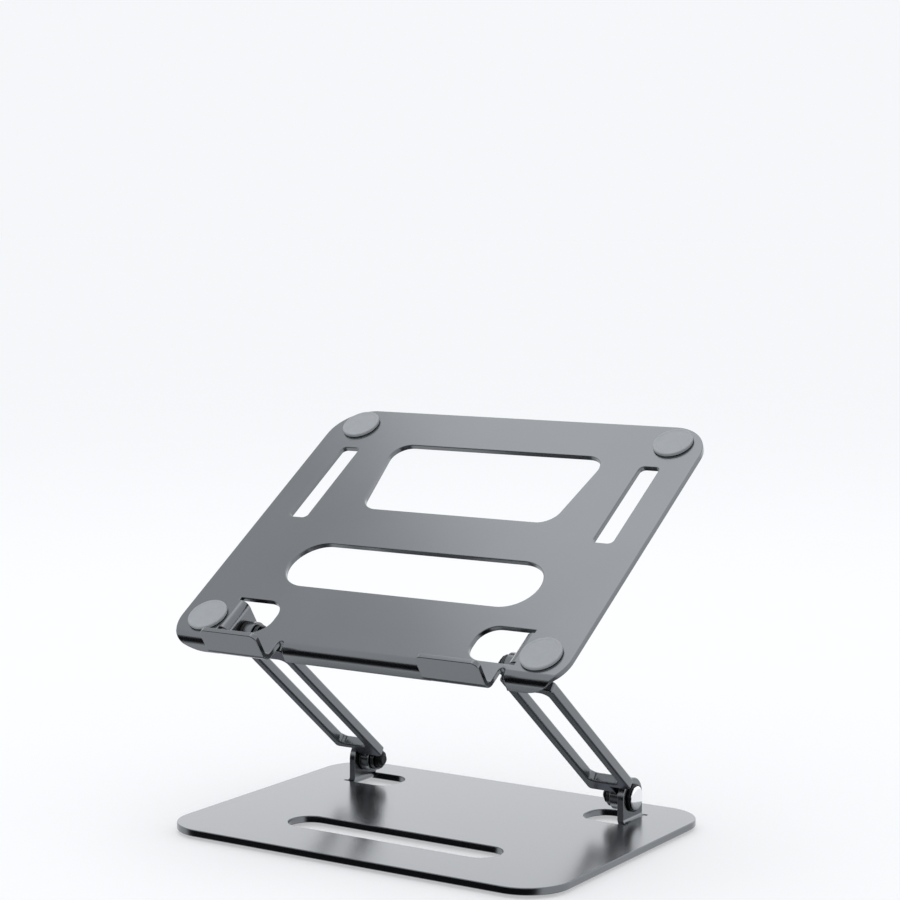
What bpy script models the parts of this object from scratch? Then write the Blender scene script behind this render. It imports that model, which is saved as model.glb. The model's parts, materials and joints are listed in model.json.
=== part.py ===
"""Folding laptop stand: a base plate, two slotted arms on friction hinges and a tilting tray.

Both plates are one sheet each, drawn flat as a blank and then folded in code, the way a press folds them:
the ears that carry the hinges are tabs bent out of their own windows. X is to the right, Y to the back,
Z up, and all lengths are in metres.
"""
import math

import bmesh
import bpy
from mathutils import Matrix, Vector

# ---- driving dimensions -------------------------------------------------------------------------
GAP = 0.0003                # clearance between pieces that touch on the real stand
FOLD_STEPS = 4              # straight facets across one bend
ARC_STEP = math.radians(18)

BASE_WIDTH = 0.2548
BASE_DEPTH = 0.1903
BASE_CORNER = 0.026
BASE_SHEET = 0.004
BASE_BOTTOM = 0.002         # the feet lift the sheet this far
BASE_TOP = BASE_BOTTOM + BASE_SHEET
BASE_SLOT = (0.0, 0.0503, 0.140, 0.0245)      # centre x, centre y, length, width

FOOT_RADIUS = 0.007
FOOT_SPREAD = 0.111
FOOT_ROWS = (0.020, 0.170)

TRAY_WIDTH = 0.257
TRAY_DEPTH = 0.213
TRAY_SHEET = 0.0032
TRAY_TILT = math.radians(33.0)
TRAY_FRONT_CORNER = 0.024
TRAY_BACK_CORNER = 0.025
RACETRACK = (0.0, 0.06975, 0.167, 0.0375)
TRAPEZOID_ROWS = (0.1215, 0.182)
TRAPEZOID_HALF_WIDTHS = (0.0645, 0.0735)      # at its front and at its back
TRAPEZOID_CORNER = 0.0115
SIDE_SLOT = (0.103, 0.1425, 0.0125, 0.067)
SIDE_SLOT_CORNER = 0.003

FLANGE_DROP = 0.0105
FLANGE_BEND = 0.0025        # inside radius
HOOK_INNER = 0.052
HOOK_OUTER = 0.091
HOOK_REACH = 0.010          # from the tray's front edge to the hook's front face
HOOK_RISE = 0.017
HOOK_BEND = 0.003
HOOK_CORNER = 0.004
RELIEF_SLIT = 0.004
RELIEF_END = 0.0062

PAD_RADIUS = 0.0118
PAD_HEIGHT = 0.0018
PAD_PLACES = ((0.110, 0.0185), (0.108, 0.1975))
HOOK_PAD_THICKNESS = 0.0012
HOOK_PAD_CORNER = 0.00035
HOOK_PAD_MARGIN = 0.003

EAR_OUTER = 0.0952          # outer face of every ear
EAR_BEND = 0.002
EAR_HALF_WIDTH = 0.0115
WINDOW_TIP = 0.0655
WINDOW_HALF_WIDTH = 0.0135
WINDOW_CORNER = 0.0115
EAR_RELIEF = 0.0006

PIVOT_ABOVE_BASE = 0.0126
PIVOT_BELOW_TRAY = 0.016    # from the tray's top face
BASE_PIVOT_ROW = 0.1545     # from the base plate's front edge
TRAY_PIVOT_ROW = 0.023      # from the tray's front edge
ARM_LENGTH = 0.1495
ARM_ANGLE = math.radians(38.9)
ARM_INNER = 0.0720
ARM_OUTER = 0.1021
ARM_RAIL = 0.0055
ARM_THICKNESS = 0.0062
ARM_SLOT_START = 0.0220
ARM_SLOT_CORNER = 0.004
ARM_INNER_START = 0.0105
ARM_OUTER_START = 0.0170
ARM_CORNER = 0.0025
KNUCKLE = (0.0840, 0.0898)
KNUCKLE_RADIUS = 0.008
TONGUE_INSET = 0.0005

BOLT_RADIUS = 0.003
BORE_RADIUS = 0.0034
BORE_OVERRUN = 0.002
BOLT_TAIL = 0.0772
BOLT_HEAD_RADIUS = 0.008
BOLT_HEAD_HEIGHT = 0.0014
SOCKET_RADIUS = 0.0025
SOCKET_DEPTH = 0.0024
CAP_RADIUS = 0.0068
CAP_HEIGHT = 0.0014
CAP_SPIGOT = (0.0021, 0.0018)                 # radius, length
WASHER_RADIUS = 0.0078
SPRING_RADIUS = 0.0065
SPRING_SPAN = (0.0812, 0.0837)
SPRING_RIM = 0.0006         # each disc is this much narrower at its inner face
SPRING_LAND = (0.2, 0.8)    # the part of a disc's thickness that has the full radius
SPRING_DISCS = 3
NUT_SPAN = (0.0787, 0.0809)
NUT_RADIUS = 0.0058
HARDWARE_BEVEL = 0.0004
DOME_TURNS = (0, 30, 55, 75)                  # degrees from the crown of a cap
TURNED_STEPS = 24
FULL_ROUND = 0.999          # a corner this near to a half circle keeps two separate points
SHARP_ANGLE = math.radians(30)

# ---- places worked out from the dimensions ------------------------------------------------------
PIVOT_HEIGHT = BASE_TOP + PIVOT_ABOVE_BASE
TRAY_PIVOT_OFFSET = -ARM_LENGTH * math.cos(ARM_ANGLE)
TRAY_PIVOT_HEIGHT = PIVOT_HEIGHT + ARM_LENGTH * math.sin(ARM_ANGLE)


def tray_place(row, rise):
    """Y from the base pivot and Z of a point of the tray, given from its front edge and its top face."""
    along = row - TRAY_PIVOT_ROW
    up = rise + PIVOT_BELOW_TRAY
    y = TRAY_PIVOT_OFFSET + along * math.cos(TRAY_TILT) - up * math.sin(TRAY_TILT)
    return y, TRAY_PIVOT_HEIGHT + along * math.sin(TRAY_TILT) + up * math.cos(TRAY_TILT)


FRONT_MOST = tray_place(-HOOK_REACH, HOOK_RISE)[0]
BACK_MOST = tray_place(TRAY_DEPTH, -TRAY_SHEET)[0]
BASE_PIVOT_Y = -(FRONT_MOST + BACK_MOST) / 2  # puts the middle of the whole stand at Y = 0
BASE_FRONT_Y = BASE_PIVOT_Y - BASE_PIVOT_ROW
TRAY_PIVOT_Y = BASE_PIVOT_Y + TRAY_PIVOT_OFFSET
FOLD_MARGIN = 1e-6
EAR_MARGIN = 0.0004         # well inside the gap between an ear and its window
FLAT_ANGLE = math.radians(0.5)


def clear_scene():
    for obj in list(bpy.data.objects):
        bpy.data.objects.remove(obj, do_unlink=True)


def new_collection(name, hidden=False):
    collection = bpy.data.collections.new(name)
    collection.hide_render = hidden
    bpy.context.scene.collection.children.link(collection)
    return collection


def new_material(name, colour, roughness, metallic):
    material = bpy.data.materials.new(name)
    material.use_nodes = True
    shader = material.node_tree.nodes["Principled BSDF"]
    shader.inputs["Base Color"].default_value = (*colour, 1.0)
    shader.inputs["Roughness"].default_value = roughness
    shader.inputs["Metallic"].default_value = metallic
    material.diffuse_color = (*colour, 1.0)
    return material


clear_scene()
PARTS = new_collection("laptop_stand")
CUTTERS = new_collection("cutters", hidden=True)
FINISHES = {
    "anodised": new_material("anodised_aluminium", (0.23, 0.24, 0.26), 0.35, 1.0),
    "black_steel": new_material("blackened_steel", (0.02, 0.02, 0.022), 0.4, 1.0),
    "bright": new_material("bright_steel", (0.85, 0.86, 0.87), 0.12, 1.0),
    "friction": new_material("friction_fibre", (0.03, 0.03, 0.03), 0.7, 0.0),
    "spring": new_material("spring_steel", (0.10, 0.10, 0.11), 0.35, 1.0),
    "silicone": new_material("grey_silicone", (0.42, 0.43, 0.46), 0.6, 0.0),
    "rubber": new_material("black_rubber", (0.02, 0.02, 0.02), 0.8, 0.0),
}


# ---- outlines -----------------------------------------------------------------------------------
def rounded(corners):
    """Points of a closed outline, from corners given as (x, y, radius)."""
    points = []
    for index, (x, y, radius) in enumerate(corners):
        corner = Vector((x, y))
        if radius <= 0:
            points.append(corner)
            continue
        before = (Vector(corners[index - 1][:2]) - corner).normalized()
        after = (Vector(corners[(index + 1) % len(corners)][:2]) - corner).normalized()
        half = before.angle(after) / 2
        centre = corner + (before + after).normalized() * (radius / math.sin(half))
        start = corner + before * (radius / math.tan(half)) - centre
        turn = start.angle_signed(corner + after * (radius / math.tan(half)) - centre)
        steps = max(2, round(abs(turn) / ARC_STEP))
        for step in range(steps + 1):
            points.append(centre + Matrix.Rotation(-turn * step / steps, 2) @ start)
    return points


def rounded_box(x, y, width, depth, radius):
    left, right = x - width / 2, x + width / 2
    front, back = y - depth / 2, y + depth / 2
    return rounded([(left, front, radius), (right, front, radius),
                    (right, back, radius), (left, back, radius)])


def circle(x, y, radius, steps=TURNED_STEPS):
    turns = [math.tau * step / steps for step in range(steps)]
    return [Vector((x + radius * math.cos(turn), y + radius * math.sin(turn))) for turn in turns]


def window_around_tab(side, row, fold_start, tab_tip):
    """The gap left round a tab that stays joined at its outer end."""
    root = fold_start + EAR_RELIEF
    tab_corner = EAR_HALF_WIDTH * FULL_ROUND
    corners = [(root, -WINDOW_HALF_WIDTH, 0), (WINDOW_TIP, -WINDOW_HALF_WIDTH, WINDOW_CORNER),
               (WINDOW_TIP, WINDOW_HALF_WIDTH, WINDOW_CORNER), (root, WINDOW_HALF_WIDTH, 0),
               (root, EAR_HALF_WIDTH, 0), (tab_tip, EAR_HALF_WIDTH, tab_corner),
               (tab_tip, -EAR_HALF_WIDTH, tab_corner), (root, -EAR_HALF_WIDTH, 0)]
    return rounded([(side * x, row + y, radius) for x, y, radius in corners])


def flat_sheet(name, outlines, thickness, middle=0.0):
    """A mesh of the flat outlines, the first with the others as openings, centred on Z = middle."""
    curve = bpy.data.curves.new(name + "_outline", "CURVE")
    curve.dimensions = "2D"
    curve.fill_mode = "BOTH"
    curve.extrude = thickness / 2
    for outline in outlines:
        spline = curve.splines.new("POLY")
        spline.points.add(len(outline) - 1)
        for point, place in zip(spline.points, outline):
            point.co = (place.x, place.y, 0.0, 1.0)
        spline.use_cyclic_u = True
    guide = bpy.data.objects.new(name + "_outline", curve)
    bpy.context.scene.collection.objects.link(guide)
    bpy.context.view_layer.update()
    graph = bpy.context.evaluated_depsgraph_get()
    mesh = bpy.data.meshes.new_from_object(guide.evaluated_get(graph))
    bpy.data.objects.remove(guide)
    work = bmesh.new()
    work.from_mesh(mesh)
    bmesh.ops.remove_doubles(work, verts=work.verts, dist=1e-6)
    bmesh.ops.translate(work, verts=work.verts, vec=(0.0, 0.0, middle))
    bmesh.ops.recalc_face_normals(work, faces=work.faces)
    work.to_mesh(mesh)
    work.free()
    return mesh


# ---- folding ------------------------------------------------------------------------------------
class Fold:
    """One right-angle bend of a sheet, along a straight line."""

    def __init__(self, axis, side, start, inside, thickness, rises, holds):
        self.axis = axis            # 0 folds along X, 1 along Y
        self.side = side            # the sign of the axis on which the joined part lies
        self.start = start          # where the bend begins, as a positive distance along side * axis
        self.radius = inside + thickness / 2
        self.rises = rises          # 1 folds towards +Z, -1 towards -Z
        self.holds = holds          # says whether a point of the blank is on this fold's tab

    def arc(self):
        return self.radius * math.pi / 2

    def cut(self, work):
        """Adds the lines that the bend needs across the blank."""
        normal = Vector((0.0, 0.0, 0.0))
        normal[self.axis] = 1.0
        for step in range(FOLD_STEPS + 1):
            place = self.side * (self.start - self.arc() * step / FOLD_STEPS)
            everything = work.verts[:] + work.edges[:] + work.faces[:]
            bmesh.ops.bisect_plane(work, geom=everything, dist=1e-7, plane_co=normal * place,
                                   plane_no=normal)

    def moves(self, place):
        return self.side * place[self.axis] < self.start - FOLD_MARGIN and self.holds(place)

    def bend(self, place):
        """The folded place of a point of the blank."""
        past = self.start - self.side * place[self.axis]
        turn = min(past, self.arc()) / self.radius
        across = self.rises * place.z
        reach = (self.radius - across) * math.sin(turn)
        rise = self.radius - (self.radius - across) * math.cos(turn) + max(0.0, past - self.arc())
        bent = place.copy()
        bent[self.axis] = self.side * (self.start - reach)
        bent.z = self.rises * rise
        return bent


def fold_sheet(mesh, folds, lift):
    """Folds a blank that is centred on Z = 0 and then raises it by lift."""
    work = bmesh.new()
    work.from_mesh(mesh)
    for fold in folds:
        fold.cut(work)
    for vertex in work.verts:
        bending = [fold for fold in folds if fold.moves(vertex.co)]
        if bending:
            vertex.co = bending[0].bend(vertex.co)
    bmesh.ops.translate(work, verts=work.verts, vec=lift)
    bmesh.ops.dissolve_limit(work, angle_limit=FLAT_ANGLE, verts=work.verts, edges=work.edges)
    bmesh.ops.recalc_face_normals(work, faces=work.faces)
    work.to_mesh(mesh)
    work.free()


def ear_fold(side, row, thickness, rises, drop):
    """The fold of one ear, and X of its hole in the blank, for a pivot drop away from mid-sheet."""
    reach = EAR_HALF_WIDTH + EAR_MARGIN
    fold = Fold(0, side, EAR_OUTER + EAR_BEND, EAR_BEND, thickness, rises, None)
    hole = fold.start - fold.arc() - (drop - fold.radius)

    def on_ear(place):
        short = max(0.0, hole - side * place.x)
        return math.hypot(short, place.y - row) < reach

    fold.holds = on_ear
    return fold, hole


# ---- objects ------------------------------------------------------------------------------------
def add_part(name, mesh, finish, location=(0.0, 0.0, 0.0), turn_x=0.0, collection=PARTS):
    obj = bpy.data.objects.new(name, mesh)
    obj.location = location
    obj.rotation_euler = (turn_x, 0.0, 0.0)
    mesh.materials.clear()
    mesh.materials.append(FINISHES[finish])
    mesh.shade_smooth()
    mesh.set_sharp_from_angle(angle=SHARP_ANGLE)
    collection.objects.link(obj)
    return obj


def add_cutter(name, mesh, location, turn_x=0.0):
    cutter = add_part(name, mesh, "black_steel", location, turn_x, CUTTERS)
    cutter.hide_render = True
    cutter.display_type = "WIRE"
    return cutter


def add_boolean(obj, other, operation):
    modifier = obj.modifiers.new(operation.lower(), "BOOLEAN")
    modifier.operation = operation
    modifier.object = other


def bar_along_x(name, low, high, radius, offset=(0.0, 0.0)):
    """A cylinder mesh along X from low to high, moved by offset in Y and Z."""
    mesh = bpy.data.meshes.new(name)
    work = bmesh.new()
    bmesh.ops.create_cone(work, cap_ends=True, segments=TURNED_STEPS, radius1=radius, radius2=radius,
                          depth=high - low)
    bmesh.ops.rotate(work, verts=work.verts, matrix=Matrix.Rotation(math.pi / 2, 3, "Y"))
    bmesh.ops.translate(work, verts=work.verts, vec=((low + high) / 2, *offset))
    work.to_mesh(mesh)
    work.free()
    return mesh


def add_turned(name, profile, finish, side, location, closed):
    """A turned piece along X. The profile's points are (distance out along X, radius), outermost first."""
    mesh = bpy.data.meshes.new(name)
    points = [(radius, 0.0, out) for out, radius in profile]
    edges = [(index, index + 1) for index in range(len(points) - 1)]
    if closed:
        edges.append((len(points) - 1, 0))
    mesh.from_pydata(points, edges, [])
    obj = add_part(name, mesh, finish, location)
    obj.rotation_euler = (0.0, side * math.pi / 2, 0.0)
    screw = obj.modifiers.new("turned", "SCREW")
    screw.steps = TURNED_STEPS
    screw.render_steps = TURNED_STEPS
    screw.use_merge_vertices = True
    screw.merge_threshold = 1e-6
    screw.use_smooth_shade = True
    return obj


# ---- base plate ---------------------------------------------------------------------------------
def build_base():
    drop = PIVOT_ABOVE_BASE + BASE_SHEET / 2
    ears = [ear_fold(side, BASE_PIVOT_ROW, BASE_SHEET, 1, drop) for side in (-1, 1)]
    outlines = [rounded_box(0.0, BASE_DEPTH / 2, BASE_WIDTH, BASE_DEPTH, BASE_CORNER)]
    x, y, length, width = BASE_SLOT
    outlines.append(rounded_box(x, y, length, width, width / 2 * FULL_ROUND))
    for fold, hole in ears:
        outlines.append(window_around_tab(fold.side, BASE_PIVOT_ROW, fold.start, hole - EAR_HALF_WIDTH))
        outlines.append(circle(fold.side * hole, BASE_PIVOT_ROW, BORE_RADIUS))
    mesh = flat_sheet("base_plate", outlines, BASE_SHEET)
    fold_sheet(mesh, [fold for fold, hole in ears], (0.0, 0.0, BASE_BOTTOM + BASE_SHEET / 2))
    add_part("base_plate", mesh, "anodised", (0.0, BASE_FRONT_Y, 0.0))


def build_feet():
    for row, end in zip(FOOT_ROWS, ("front", "back")):
        for side, hand in ((-1, "left"), (1, "right")):
            name = f"foot_{end}_{hand}"
            height = BASE_BOTTOM - GAP
            mesh = flat_sheet(name, [circle(0.0, 0.0, FOOT_RADIUS)], height, height / 2)
            add_part(name, mesh, "rubber", (side * FOOT_SPREAD, BASE_FRONT_Y + row, 0.0))


# ---- tray ---------------------------------------------------------------------------------------
def on_hook(place):
    middle = RELIEF_SLIT / 2
    return HOOK_INNER - middle < abs(place.x) < HOOK_OUTER + middle


def off_hook(place):
    return not on_hook(place)


def tray_outline(flange_edge, hook_edge):
    half = TRAY_WIDTH / 2
    slit_corner = RELIEF_SLIT / 2 * FULL_ROUND
    inner_slit = HOOK_INNER - RELIEF_SLIT
    outer_slit = HOOK_OUTER + RELIEF_SLIT
    right = [(inner_slit, flange_edge, 0), (inner_slit, RELIEF_END, slit_corner),
             (HOOK_INNER, RELIEF_END, slit_corner), (HOOK_INNER, hook_edge, HOOK_CORNER),
             (HOOK_OUTER, hook_edge, HOOK_CORNER), (HOOK_OUTER, RELIEF_END, slit_corner),
             (outer_slit, RELIEF_END, slit_corner), (outer_slit, flange_edge, 0),
             (half, flange_edge, TRAY_FRONT_CORNER), (half, TRAY_DEPTH, TRAY_BACK_CORNER)]
    left = [(-x, y, radius) for x, y, radius in reversed(right)]
    return rounded(right + left)


def build_tray():
    flange = Fold(1, 1, TRAY_SHEET + FLANGE_BEND, FLANGE_BEND, TRAY_SHEET, -1, off_hook)
    hook = Fold(1, 1, TRAY_SHEET + HOOK_BEND - HOOK_REACH, HOOK_BEND, TRAY_SHEET, 1, on_hook)
    flange_edge = flange.start - flange.arc() - (FLANGE_DROP - TRAY_SHEET / 2 - flange.radius)
    hook_edge = hook.start - hook.arc() - (HOOK_RISE + TRAY_SHEET / 2 - hook.radius)
    drop = PIVOT_BELOW_TRAY - TRAY_SHEET / 2
    ears = [ear_fold(side, TRAY_PIVOT_ROW, TRAY_SHEET, -1, drop) for side in (-1, 1)]

    front, back = TRAPEZOID_ROWS
    narrow, wide = TRAPEZOID_HALF_WIDTHS
    corner = TRAPEZOID_CORNER
    x, y, length, width = RACETRACK
    outlines = [
        tray_outline(flange_edge, hook_edge),
        rounded_box(x, y, length, width, width / 2 * FULL_ROUND),
        rounded([(-narrow, front, corner), (narrow, front, corner),
                 (wide, back, corner), (-wide, back, corner)]),
    ]
    x, y, width, length = SIDE_SLOT
    for fold, hole in ears:
        outlines.append(rounded_box(fold.side * x, y, width, length, SIDE_SLOT_CORNER))
        outlines.append(window_around_tab(fold.side, TRAY_PIVOT_ROW, fold.start, hole - EAR_HALF_WIDTH))
        outlines.append(circle(fold.side * hole, TRAY_PIVOT_ROW, BORE_RADIUS))
    folds = [fold for fold, hole in ears]
    mesh = flat_sheet("laptop_tray", outlines, TRAY_SHEET)
    fold_sheet(mesh, [*folds, flange, hook], (0.0, -TRAY_PIVOT_ROW, PIVOT_BELOW_TRAY - TRAY_SHEET / 2))
    add_part("laptop_tray", mesh, "anodised", (0.0, TRAY_PIVOT_Y, TRAY_PIVOT_HEIGHT), TRAY_TILT)


def build_pads():
    place = (0.0, TRAY_PIVOT_Y, TRAY_PIVOT_HEIGHT)
    for (spread, row), end in zip(PAD_PLACES, ("front", "back")):
        for side, hand in ((-1, "left"), (1, "right")):
            name = f"pad_{end}_{hand}"
            middle = PIVOT_BELOW_TRAY + GAP + PAD_HEIGHT / 2
            disc = circle(side * spread, row - TRAY_PIVOT_ROW, PAD_RADIUS)
            add_part(name, flat_sheet(name, [disc], PAD_HEIGHT, middle), "silicone", place, TRAY_TILT)
    for side, hand in ((-1, "left"), (1, "right")):
        name = f"hook_pad_{hand}"
        width = HOOK_OUTER - HOOK_INNER - 2 * HOOK_PAD_MARGIN
        low = HOOK_BEND + GAP
        high = HOOK_RISE - HOOK_PAD_MARGIN
        front = -HOOK_REACH + TRAY_SHEET + GAP
        outline = rounded_box(side * (HOOK_INNER + HOOK_OUTER) / 2,
                              front + HOOK_PAD_THICKNESS / 2 - TRAY_PIVOT_ROW,
                              width, HOOK_PAD_THICKNESS, HOOK_PAD_CORNER)
        mesh = flat_sheet(name, [outline], high - low, PIVOT_BELOW_TRAY + (low + high) / 2)
        add_part(name, mesh, "silicone", place, TRAY_TILT)


# ---- arms ---------------------------------------------------------------------------------------
def build_arm(side, hand):
    tongue_in = KNUCKLE[0] + TONGUE_INSET
    tongue_out = KNUCKLE[1] - TONGUE_INSET
    corner = ARM_CORNER
    near = [(tongue_out, 0.0, 0), (tongue_in, 0.0, 0), (tongue_in, ARM_INNER_START, 0.0),
            (ARM_INNER, ARM_INNER_START, corner)]
    far = [(x, ARM_LENGTH - along, radius) for x, along, radius in reversed(near)]
    near_out = [(ARM_OUTER, ARM_OUTER_START, corner), (tongue_out, ARM_OUTER_START, 0)]
    far_out = [(x, ARM_LENGTH - along, radius) for x, along, radius in reversed(near_out)]
    corners = near + far + far_out + near_out
    outline = rounded([(side * x, -along, radius) for x, along, radius in corners])
    slot = rounded_box(side * (ARM_INNER + ARM_OUTER) / 2, -ARM_LENGTH / 2,
                       ARM_OUTER - ARM_INNER - 2 * ARM_RAIL, ARM_LENGTH - 2 * ARM_SLOT_START,
                       ARM_SLOT_CORNER)
    name = f"arm_{hand}"
    place = (0.0, BASE_PIVOT_Y, PIVOT_HEIGHT)
    plate = flat_sheet(name, [outline, slot], ARM_THICKNESS)
    arm = add_part(name, plate, "anodised", place, -ARM_ANGLE)
    low, high = sorted(side * x for x in KNUCKLE)
    for end, along in (("base", 0.0), ("tray", -ARM_LENGTH)):
        knuckle = bar_along_x(f"{name}_{end}_knuckle", low, high, KNUCKLE_RADIUS, (along, 0.0))
        bore = bar_along_x(f"{name}_{end}_bore", low - BORE_OVERRUN, high + BORE_OVERRUN, BORE_RADIUS,
                           (along, 0.0))
        add_boolean(arm, add_cutter(f"{name}_{end}_knuckle", knuckle, place, -ARM_ANGLE), "UNION")
        add_boolean(arm, add_cutter(f"{name}_{end}_bore", bore, place, -ARM_ANGLE), "DIFFERENCE")


# ---- hinge hardware -----------------------------------------------------------------------------
def build_hinge(end, hand, side, y, z, sheet):
    place = (0.0, y, z)
    label = f"{end}_{hand}"
    head_low = EAR_OUTER + GAP
    head_high = head_low + BOLT_HEAD_HEIGHT
    bevel = HARDWARE_BEVEL
    add_turned(f"hinge_bolt_{label}",
               [(head_high - SOCKET_DEPTH, 0.0), (head_high - SOCKET_DEPTH, SOCKET_RADIUS),
                (head_high, SOCKET_RADIUS), (head_high, BOLT_HEAD_RADIUS - bevel),
                (head_high - bevel, BOLT_HEAD_RADIUS), (head_low, BOLT_HEAD_RADIUS),
                (head_low, BOLT_RADIUS), (BOLT_TAIL + bevel, BOLT_RADIUS), (BOLT_TAIL, BOLT_RADIUS - bevel),
                (BOLT_TAIL, 0.0)],
               "black_steel", side, place, False)
    cap_low = head_high + GAP
    spigot, reach = CAP_SPIGOT
    dome = [(cap_low + CAP_HEIGHT * math.cos(turn), CAP_RADIUS * math.sin(turn))
            for turn in map(math.radians, DOME_TURNS)]
    add_turned(f"hinge_cap_{label}",
               dome + [(cap_low, CAP_RADIUS), (cap_low, spigot), (cap_low - reach, spigot),
                       (cap_low - reach, 0.0)],
               "bright", side, place, False)
    ring_low = KNUCKLE[1] + GAP
    ring_high = EAR_OUTER - sheet - GAP
    add_turned(f"friction_washer_{label}",
               [(ring_high, BORE_RADIUS), (ring_high, WASHER_RADIUS),
                (ring_low, WASHER_RADIUS), (ring_low, BORE_RADIUS)],
               "friction", side, place, True)
    low, high = SPRING_SPAN
    disc = (high - low) / SPRING_DISCS
    edge = [(high, BORE_RADIUS)]
    for index in range(SPRING_DISCS):
        top = high - index * disc
        edge += [(top - disc * part, SPRING_RADIUS) for part in SPRING_LAND]
        edge.append((top - disc, SPRING_RADIUS - SPRING_RIM))
    edge.append((low, BORE_RADIUS))
    add_turned(f"disc_springs_{label}", edge, "spring", side, place, True)
    build_nut(f"lock_nut_{label}", side, place)


def build_nut(name, side, place):
    low, high = NUT_SPAN
    outlines = [circle(0.0, 0.0, NUT_RADIUS, 6), circle(0.0, 0.0, BORE_RADIUS, TURNED_STEPS // 2)]
    mesh = flat_sheet(name, outlines, high - low, (low + high) / 2)
    nut = add_part(name, mesh, "black_steel", place)
    nut.rotation_euler = (0.0, side * math.pi / 2, 0.0)


build_base()
build_feet()
build_tray()
build_pads()
for hand_side, hand_name in ((-1, "left"), (1, "right")):
    build_arm(hand_side, hand_name)
    build_hinge("base", hand_name, hand_side, BASE_PIVOT_Y, PIVOT_HEIGHT, BASE_SHEET)
    build_hinge("tray", hand_name, hand_side, TRAY_PIVOT_Y, TRAY_PIVOT_HEIGHT, TRAY_SHEET)
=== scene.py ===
import json
import math

import bmesh
import bpy
from mathutils import Matrix, Vector


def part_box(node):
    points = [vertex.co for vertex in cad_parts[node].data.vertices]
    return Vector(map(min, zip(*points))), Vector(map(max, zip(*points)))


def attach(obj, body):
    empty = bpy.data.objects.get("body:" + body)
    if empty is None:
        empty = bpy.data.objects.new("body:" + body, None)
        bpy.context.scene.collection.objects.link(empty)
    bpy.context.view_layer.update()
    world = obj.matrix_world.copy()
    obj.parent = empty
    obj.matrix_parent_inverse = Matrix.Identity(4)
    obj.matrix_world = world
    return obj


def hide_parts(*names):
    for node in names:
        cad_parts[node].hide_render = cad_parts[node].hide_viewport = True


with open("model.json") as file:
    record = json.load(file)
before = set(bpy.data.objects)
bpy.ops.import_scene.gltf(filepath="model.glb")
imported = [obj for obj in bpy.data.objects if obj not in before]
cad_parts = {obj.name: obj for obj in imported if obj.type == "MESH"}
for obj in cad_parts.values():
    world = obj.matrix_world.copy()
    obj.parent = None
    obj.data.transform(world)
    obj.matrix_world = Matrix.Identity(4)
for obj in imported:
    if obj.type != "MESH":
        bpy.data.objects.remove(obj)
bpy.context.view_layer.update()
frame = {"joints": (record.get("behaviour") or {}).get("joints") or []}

# ---- dimensions in metres -----------------------------------------------------------------------
# places that the frame gives
BASE_LOW, BASE_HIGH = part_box("base_plate")
JOINT_PLACES = {joint["name"]: Vector(joint["pos_m"]) for joint in frame["joints"]}
BASE_PIVOT = JOINT_PLACES["arm_lift"]
TRAY_PIVOT = JOINT_PLACES["tray_tilt"]
ARM_LENGTH = (TRAY_PIVOT - BASE_PIVOT).length
ARM_ANGLE = math.atan2(TRAY_PIVOT.z - BASE_PIVOT.z, BASE_PIVOT.y - TRAY_PIVOT.y)
TRAY_TILT = math.radians(33)

BASE_SHEET = 0.004
BASE_TOP = BASE_LOW.z + BASE_SHEET
BASE_CORNER = 0.026
BASE_SLOT = (0.0, 0.0503, 0.140, 0.0245)      # centre x and y, length, width, from the front edge

TRAY_WIDTH = 0.257
TRAY_DEPTH = 0.213
TRAY_SHEET = 0.0032
TRAY_FRONT_CORNER = 0.024
TRAY_BACK_CORNER = 0.025
AIR_SLOT = (0.0, 0.06975, 0.167, 0.0375)
AIR_WINDOW_ROWS = (0.1215, 0.182)
AIR_WINDOW_HALF_WIDTHS = (0.0645, 0.0735)
AIR_WINDOW_CORNER = 0.0115
SIDE_SLOT = (0.103, 0.1425, 0.0125, 0.067)
SIDE_SLOT_CORNER = 0.003
LIP_DROP = 0.0105
LIP_BEND = 0.0025
HOOK_INNER = 0.052
HOOK_OUTER = 0.091
HOOK_REACH = 0.010
HOOK_RISE = 0.017
HOOK_BEND = 0.003
HOOK_CORNER = 0.004
SLIT = 0.004
SLIT_END = 0.0062

EAR_OUTER = 0.0952
EAR_BEND = 0.002
EAR_HALF_WIDTH = 0.0115
EAR_MARGIN = 0.0005
EAR_WINDOW_TIP = 0.0655
EAR_WINDOW_HALF_WIDTH = 0.0135
EAR_WINDOW_CORNER = 0.0115
EAR_RELIEF = 0.0006
BASE_PIVOT_ROW = BASE_PIVOT.y - BASE_LOW.y
TRAY_PIVOT_ROW = 0.023
PIVOT_ABOVE_BASE = BASE_PIVOT.z - BASE_TOP
PIVOT_BELOW_TRAY = 0.016

ARM_INNER = 0.0720
ARM_OUTER = 0.1021
ARM_RAIL = 0.0055
ARM_THICKNESS = 0.0062
ARM_SLOT_START = 0.0220
ARM_SLOT_CORNER = 0.004
ARM_INNER_START = 0.0105
ARM_OUTER_START = 0.0170
ARM_CORNER = 0.0025
KNUCKLE = (0.0840, 0.0898)
KNUCKLE_RADIUS = 0.008
TONGUE_INSET = 0.0005
TONGUE_OVERLAP = 0.006
TONGUE_SHY = 0.00005

GAP = 0.0003
BORE_RADIUS = 0.0034
BOLT_RADIUS = 0.003
BOLT_TAIL = 0.0772
BOLT_HEAD_RADIUS = 0.008
BOLT_HEAD_HEIGHT = 0.0014
SOCKET_RADIUS = 0.0025
SOCKET_DEPTH = 0.0024
THREAD_DEPTH = 0.0003
THREAD_PITCH = 0.0005
THREAD_TURNS = 16
CAP_RADIUS = 0.0068
CAP_HEIGHT = 0.0014
CAP_SPIGOT = (0.0021, 0.0018)
WASHER_RADIUS = 0.0078
SPRING_RADIUS = 0.0065
SPRING_SPAN = (0.0812, 0.0837)
SPRING_DISCS = 3
NUT_SPAN = (0.0787, 0.0809)
NUT_RADIUS = 0.0058

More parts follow.
